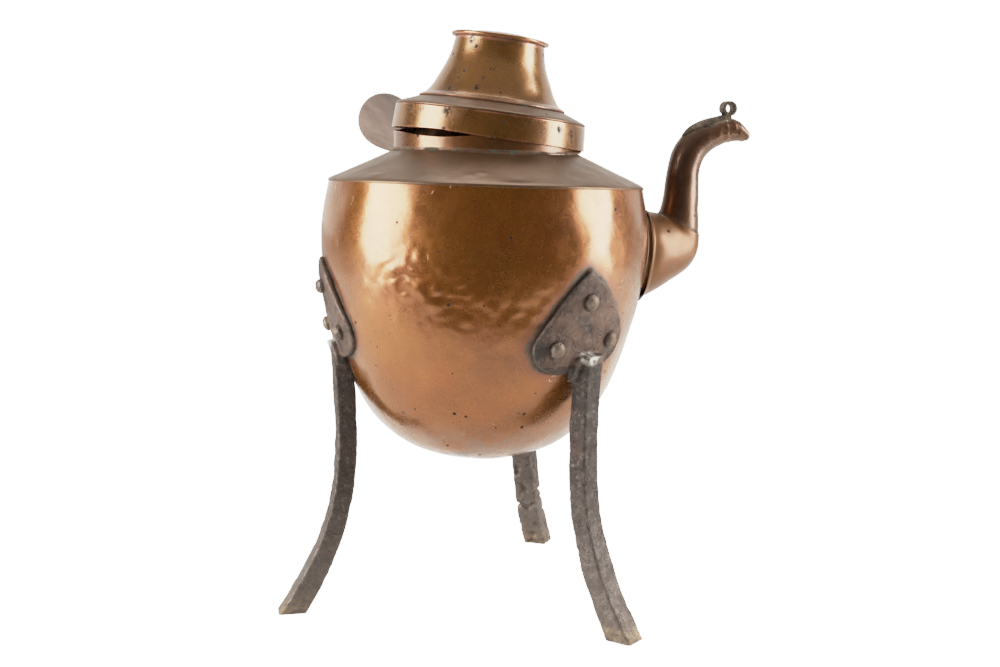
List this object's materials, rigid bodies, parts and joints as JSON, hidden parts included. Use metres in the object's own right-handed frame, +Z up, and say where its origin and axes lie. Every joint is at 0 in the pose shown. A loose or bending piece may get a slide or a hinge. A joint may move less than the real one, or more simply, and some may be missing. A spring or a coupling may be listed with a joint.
{
  "type": "tripod kettle",
  "caption": "Copper hearth kettle with a rounded bowl on forged iron legs, swan-neck spout, wooden side handle and a loose bell-topped lid that lifts off.",
  "frame": {"origin": "on the floor, in the middle of the three feet", "axes": "+Z up, +X towards the spout, +Y across the spout along the hinge eye, on the side of the handle"},
  "size_m": [0.3043, 0.3328, 0.3545],
  "materials": {
    "copper": "worn, hammered copper with brown patina, semi-gloss",
    "lid_copper": "worn brassy copper with dark specks, semi-gloss",
    "forged_iron": "forged, pitted and rust-brown, matte",
    "rivet": "hammered, worn, satin",
    "grip_wood": "dry weathered grey wood, matte"
  },
  "bodies": {
    "kettle": {"bowl": "copper", "shoulder": "copper", "neck_collar": "copper", "spout_collar": "copper", "spout_boot": "copper", "spout_neck": "copper", "spout_hinge_strap": "copper", "leg_rear": "forged_iron", "leg_front_left": "forged_iron", "leg_front_right": "forged_iron", "leg_rear_rivet_top": "rivet", "leg_rear_rivet_left": "rivet", "leg_rear_rivet_right": "rivet", "leg_front_left_rivet_top": "rivet", "leg_front_left_rivet_left": "rivet", "leg_front_left_rivet_right": "rivet", "leg_front_right_rivet_top": "rivet", "leg_front_right_rivet_left": "rivet", "leg_front_right_rivet_right": "rivet", "handle_socket": "copper", "handle_grip": "grip_wood", "handle_pin": "forged_iron", "handle_rivet_left": "rivet", "handle_rivet_right": "rivet"},
    "lid": {"lid_skirt": "lid_copper", "lid_shoulder": "lid_copper", "lid_bell": "lid_copper", "lid_rim": "lid_copper", "lid_cap": "lid_copper"}
  },
  "joints": [
    {"name": "lid_lift", "type": "slide", "parent": "kettle", "child": "lid", "axis": [0, 0, 1], "range_m": [0, 0.08]}
  ]
}
